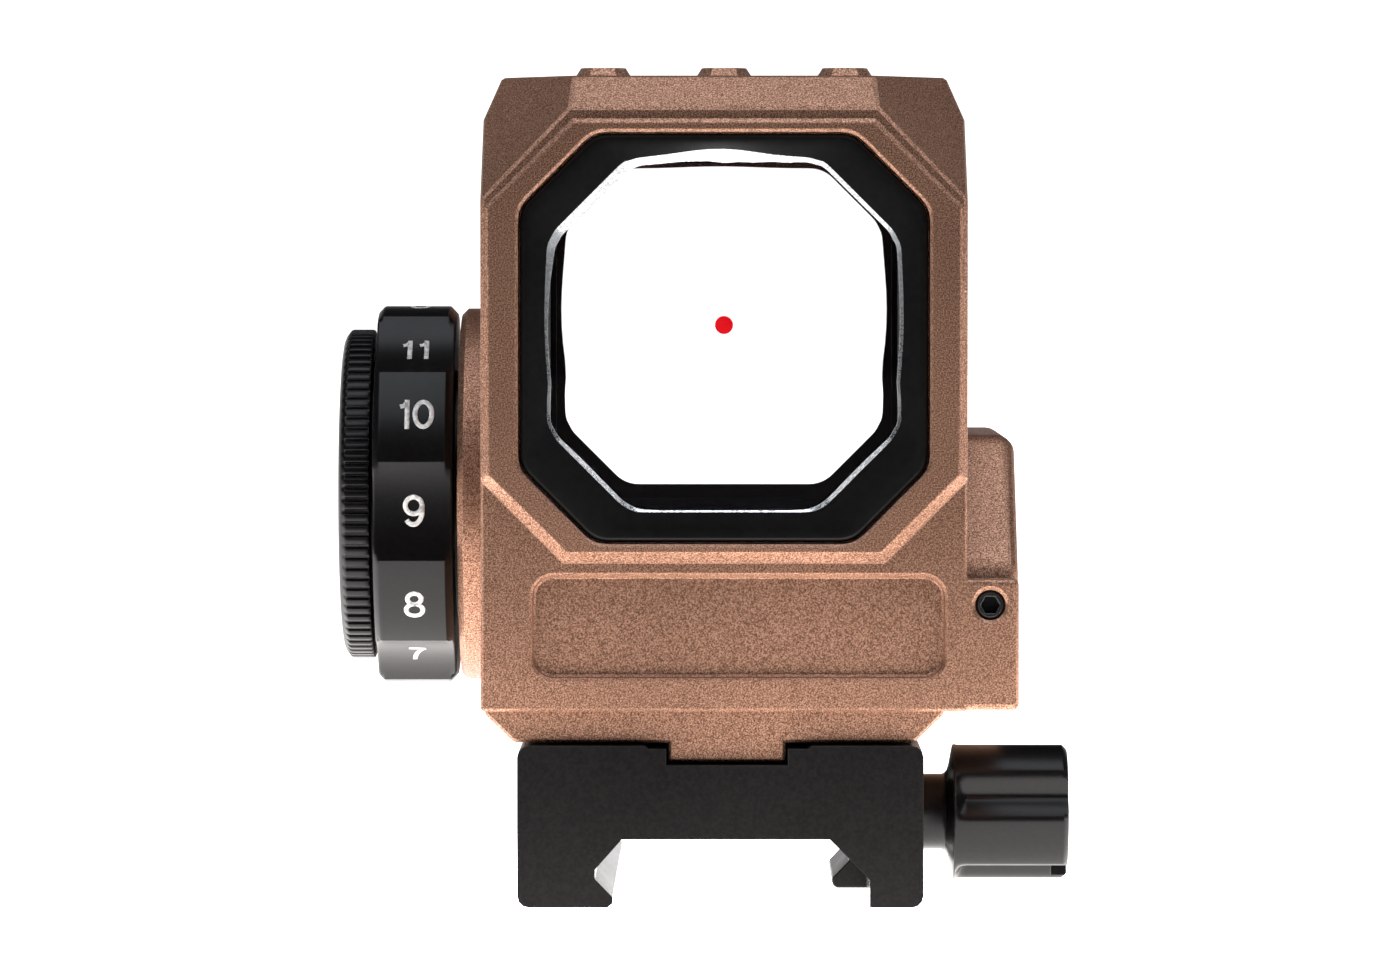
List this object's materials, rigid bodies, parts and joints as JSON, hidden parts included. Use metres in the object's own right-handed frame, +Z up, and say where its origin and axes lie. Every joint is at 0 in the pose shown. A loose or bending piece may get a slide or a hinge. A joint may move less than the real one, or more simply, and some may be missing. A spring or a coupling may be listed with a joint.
{
  "type": "red dot sight",
  "caption": "Closed-tube red dot sight with a square window, numbered side dial holding the battery, and a rail clamp closed by a thumb nut.",
  "frame": {"origin": "on the rail seat (the clamp slot's ceiling), midway across, 20 mm ahead of the housing's rear face", "axes": "+Y along the line of sight, away from the user; +Z up, away from the rail; +X to the user's right"},
  "size_m": [0.0617, 0.074, 0.0691],
  "materials": {
    "bronze": "bead blasted, bronze anodised",
    "black_frame": "satin black",
    "black_dial": "satin black anodised",
    "black_mount": "matte black anodised",
    "rubber": "matte",
    "clear_glass": "clear, anti-reflection coated",
    "coated_glass": "red-reflecting coating",
    "steel": "bright",
    "black_steel": "black oxide",
    "brass": "bright",
    "plastic": "moulded black",
    "board": "green solder mask",
    "wire": "red insulation"
  },
  "bodies": {
    "sight": {"housing": "bronze", "rear_frame": "black_frame", "rear_window": "clear_glass", "rear_window_gasket": "rubber", "front_frame": "black_frame", "front_lens": "coated_glass", "front_lens_gasket": "rubber", "floor_cover": "plastic", "emitter_window": "clear_glass", "floor_cover_screw_1": "black_steel", "floor_cover_screw_2": "black_steel", "control_board": "board", "lead_wire": "wire", "windage_spring": "steel", "dial_retainer_ring": "steel", "switch_board": "board", "detent_ball": "steel", "detent_spring": "steel", "mount_base": "black_mount", "mount_screw_1": "black_steel", "mount_screw_2": "black_steel", "cross_bolt": "black_steel", "jaw_guide_pin_1": "steel", "jaw_guide_pin_2": "steel", "jaw_spring": "steel"},
    "dial": {"brightness_dial": "black_dial", "dial_hub": "brass", "dial_hub_screw_1": "steel", "dial_hub_screw_2": "steel", "dial_hub_screw_3": "steel", "wiper_contact": "brass", "battery_contact": "brass"},
    "cap_seal": {"cap_seal_ring": "rubber"},
    "cell": {"coin_cell": "steel"},
    "cap": {"battery_cap": "black_dial", "cap_contact_spring": "brass"},
    "windage_screw": {"windage_adjuster": "black_steel"},
    "windage_block": {"windage_carriage": "brass"},
    "elevation_screw": {"elevation_adjuster": "black_steel"},
    "elevation_block": {"elevation_wedge": "brass"},
    "emitter": {"emitter_holder": "plastic", "emitter_board": "board", "led_emitter": "clear_glass"},
    "jaw": {"clamp_jaw": "black_mount", "nut_washer": "steel"},
    "nut": {"thumb_nut": "black_dial"},
    "lock": {"lock_screw": "black_steel"}
  },
  "joints": [
    {"name": "dial_turn", "type": "hinge", "parent": "sight", "child": "dial", "pos_m": [-0.026, 0.005, 0.0277], "axis": [1, 0, 0], "range_deg": [0, 330]},
    {"name": "cap_thread_travel", "type": "slide", "parent": "dial", "child": "cap_seal", "axis": [-1, 0, 0], "range_m": [0, 0.00225]},
    {"name": "cap_pull_off", "type": "slide", "parent": "cap_seal", "child": "cell", "axis": [-1, 0, 0], "range_m": [0, 0.012]},
    {"name": "cap_turn", "type": "hinge", "parent": "cell", "child": "cap", "pos_m": [-0.03, 0.005, 0.0277], "axis": [-1, 0, 0], "range_deg": [0, 1081]},
    {"name": "windage_turn", "type": "hinge", "parent": "sight", "child": "windage_screw", "pos_m": [0.023, -0.003, 0.0165], "axis": [1, 0, 0], "range_deg": [-361, 361]},
    {"name": "windage_shift", "type": "slide", "parent": "sight", "child": "windage_block", "axis": [1, 0, 0], "range_m": [-0.0005, 0.0005]},
    {"name": "elevation_turn", "type": "hinge", "parent": "sight", "child": "elevation_screw", "pos_m": [0.023, 0.0095, 0.0165], "axis": [1, 0, 0], "range_deg": [-1081, 1081]},
    {"name": "wedge_shift", "type": "slide", "parent": "sight", "child": "elevation_block", "axis": [1, 0, 0], "range_m": [-0.0015, 0.0015]},
    {"name": "elevation_shift", "type": "slide", "parent": "windage_block", "child": "emitter", "axis": [0, 0, 1], "range_m": [-0.00038, 0.00038]},
    {"name": "jaw_slide", "type": "slide", "parent": "sight", "child": "jaw", "axis": [1, 0, 0], "range_m": [0, 0.0016]},
    {"name": "nut_turn", "type": "hinge", "parent": "jaw", "child": "nut", "pos_m": [0.023, 0.01, 0.0002], "axis": [1, 0, 0], "range_deg": [0, 721]},
    {"name": "lock_screw_turn", "type": "hinge", "parent": "sight", "child": "lock", "pos_m": [0.0219, -0.0187, 0.01926], "axis": [0, -1, 0], "range_deg": [0, 360]}
  ],
  "couplings": [
    {"joint": "cap_turn", "follows": "cap_thread_travel", "rad_per_m": 8377.6},
    {"joint": "windage_turn", "follows": "windage_shift", "rad_per_m": 12566},
    {"joint": "elevation_turn", "follows": "wedge_shift", "rad_per_m": 12566},
    {"joint": "elevation_shift", "follows": "wedge_shift", "ratio": -0.25},
    {"joint": "nut_turn", "follows": "jaw_slide", "rad_per_m": 7854}
  ]
}
